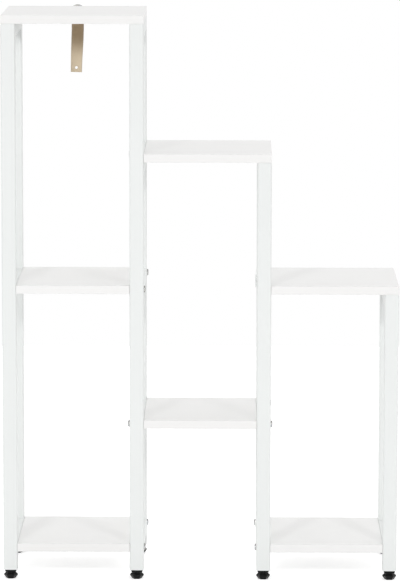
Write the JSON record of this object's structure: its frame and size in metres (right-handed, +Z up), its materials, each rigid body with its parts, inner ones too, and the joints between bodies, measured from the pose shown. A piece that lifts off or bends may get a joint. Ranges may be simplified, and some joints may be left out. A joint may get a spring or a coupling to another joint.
{
  "type": "plant stand",
  "caption": "Stepped plant stand of white square-tube side frames and white boards in three falling bays, on levelling feet, with an anti-tip strap.",
  "frame": {"origin": "on the floor, midway between the outer frames and between the front and back posts", "axes": "+Z up, +X to the right towards the low end, -Y to the front"},
  "size_m": [0.706, 0.2508, 1.008],
  "materials": {
    "white_frame": "white powder coat, satin",
    "white_board": "white melamine on particle board",
    "zinc_steel": "zinc plated",
    "black_plastic": "moulded black",
    "khaki_webbing": "woven nylon webbing"
  },
  "bodies": {
    "stand": {"left_frame_front_post": "white_frame", "left_frame_back_post": "white_frame", "inner_left_frame_front_post": "white_frame", "inner_left_frame_back_post": "white_frame", "inner_right_frame_front_post": "white_frame", "inner_right_frame_back_post": "white_frame", "right_frame_front_post": "white_frame", "right_frame_back_post": "white_frame", "left_frame_top_rail": "white_frame", "left_frame_middle_rail": "white_frame", "left_frame_bottom_rail": "white_frame", "inner_left_frame_top_rail": "white_frame", "inner_left_frame_upper_rail": "white_frame", "inner_left_frame_middle_rail": "white_frame", "inner_left_frame_lower_rail": "white_frame", "inner_left_frame_bottom_rail": "white_frame", "inner_right_frame_top_rail": "white_frame", "inner_right_frame_middle_rail": "white_frame", "inner_right_frame_lower_rail": "white_frame", "inner_right_frame_bottom_rail": "white_frame", "right_frame_top_rail": "white_frame", "right_frame_bottom_rail": "white_frame", "left_top_board": "white_board", "left_middle_board": "white_board", "left_bottom_board": "white_board", "middle_top_board": "white_board", "middle_lower_board": "white_board", "right_top_board": "white_board", "right_bottom_board": "white_board", "foot_tube_plugs": "black_plastic", "board_bolts": "zinc_steel", "board_thread_inserts": "zinc_steel", "strap_washer": "zinc_steel", "strap_screw": "zinc_steel"},
    "left_front_foot": {"left_front_foot_base": "black_plastic", "left_front_foot_stud": "zinc_steel"},
    "left_back_foot": {"left_back_foot_base": "black_plastic", "left_back_foot_stud": "zinc_steel"},
    "inner_left_front_foot": {"inner_left_front_foot_base": "black_plastic", "inner_left_front_foot_stud": "zinc_steel"},
    "inner_left_back_foot": {"inner_left_back_foot_base": "black_plastic", "inner_left_back_foot_stud": "zinc_steel"},
    "inner_right_front_foot": {"inner_right_front_foot_base": "black_plastic", "inner_right_front_foot_stud": "zinc_steel"},
    "inner_right_back_foot": {"inner_right_back_foot_base": "black_plastic", "inner_right_back_foot_stud": "zinc_steel"},
    "right_front_foot": {"right_front_foot_base": "black_plastic", "right_front_foot_stud": "zinc_steel"},
    "right_back_foot": {"right_back_foot_base": "black_plastic", "right_back_foot_stud": "zinc_steel"},
    "strap": {"anti_tip_strap": "khaki_webbing"}
  },
  "joints": [
    {"name": "left_front_foot_screw", "type": "slide", "parent": "stand", "child": "left_front_foot", "axis": [0, 0, -1], "range_m": [0, 0.012]},
    {"name": "left_back_foot_screw", "type": "slide", "parent": "stand", "child": "left_back_foot", "axis": [0, 0, -1], "range_m": [0, 0.012]},
    {"name": "inner_left_front_foot_screw", "type": "slide", "parent": "stand", "child": "inner_left_front_foot", "axis": [0, 0, -1], "range_m": [0, 0.012]},
    {"name": "inner_left_back_foot_screw", "type": "slide", "parent": "stand", "child": "inner_left_back_foot", "axis": [0, 0, -1], "range_m": [0, 0.012]},
    {"name": "inner_right_front_foot_screw", "type": "slide", "parent": "stand", "child": "inner_right_front_foot", "axis": [0, 0, -1], "range_m": [0, 0.012]},
    {"name": "inner_right_back_foot_screw", "type": "slide", "parent": "stand", "child": "inner_right_back_foot", "axis": [0, 0, -1], "range_m": [0, 0.012]},
    {"name": "right_front_foot_screw", "type": "slide", "parent": "stand", "child": "right_front_foot", "axis": [0, 0, -1], "range_m": [0, 0.012]},
    {"name": "right_back_foot_screw", "type": "slide", "parent": "stand", "child": "right_back_foot", "axis": [0, 0, -1], "range_m": [0, 0.012]},
    {"name": "strap_swing", "type": "hinge", "parent": "stand", "child": "strap", "pos_m": [-0.225, 0.12, 0.995], "axis": [0, 1, 0], "range_deg": [-90, 90]}
  ]
}
